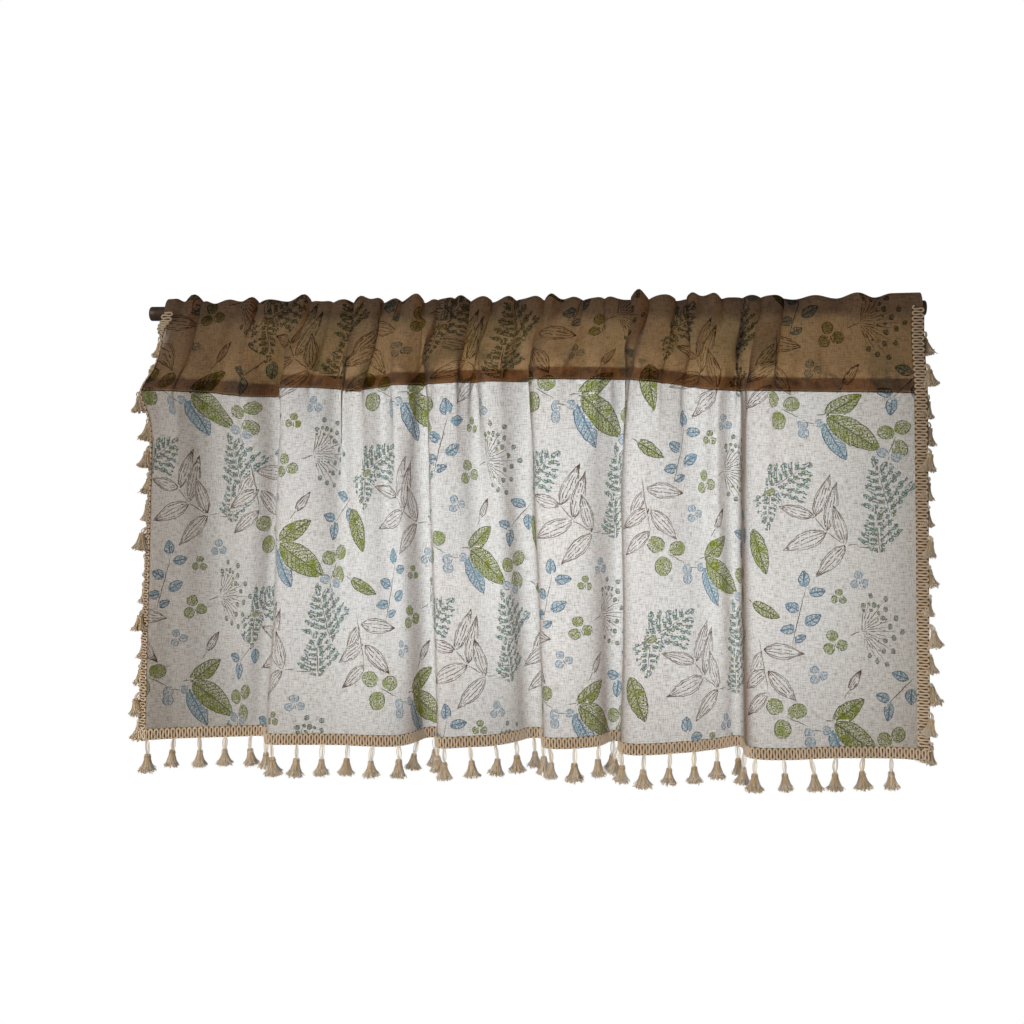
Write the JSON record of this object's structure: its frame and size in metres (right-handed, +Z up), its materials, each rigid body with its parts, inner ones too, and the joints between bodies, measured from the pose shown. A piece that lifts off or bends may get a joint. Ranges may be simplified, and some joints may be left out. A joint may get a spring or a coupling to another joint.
{
  "type": "short gathered curtain on a rod",
  "caption": "Short leaf-print linen curtain gathered on a plain rod through a deep sewn casing, trimmed with tassel braid along its hem and side edges.",
  "frame": {"origin": "on the rod's axis, at mid-width of the hanging cloth", "axes": "+X along the rod to the right as seen from the room, +Y to the back, towards the window, +Z up"},
  "size_m": [0.8331, 0.076, 0.4921],
  "materials": {
    "rod_metal": "satin dark bronze paint",
    "printed_linen": "plain-woven slubby linen, leaf print",
    "tassel_cotton": "scroll gimp braid with twisted cotton tassels"
  },
  "bodies": {
    "root": {"rod": "rod_metal", "curtain_cloth": "printed_linen", "hem_tassel_trim": "tassel_cotton", "left_tassel_trim": "tassel_cotton", "right_tassel_trim": "tassel_cotton"}
  },
  "joints": []
}
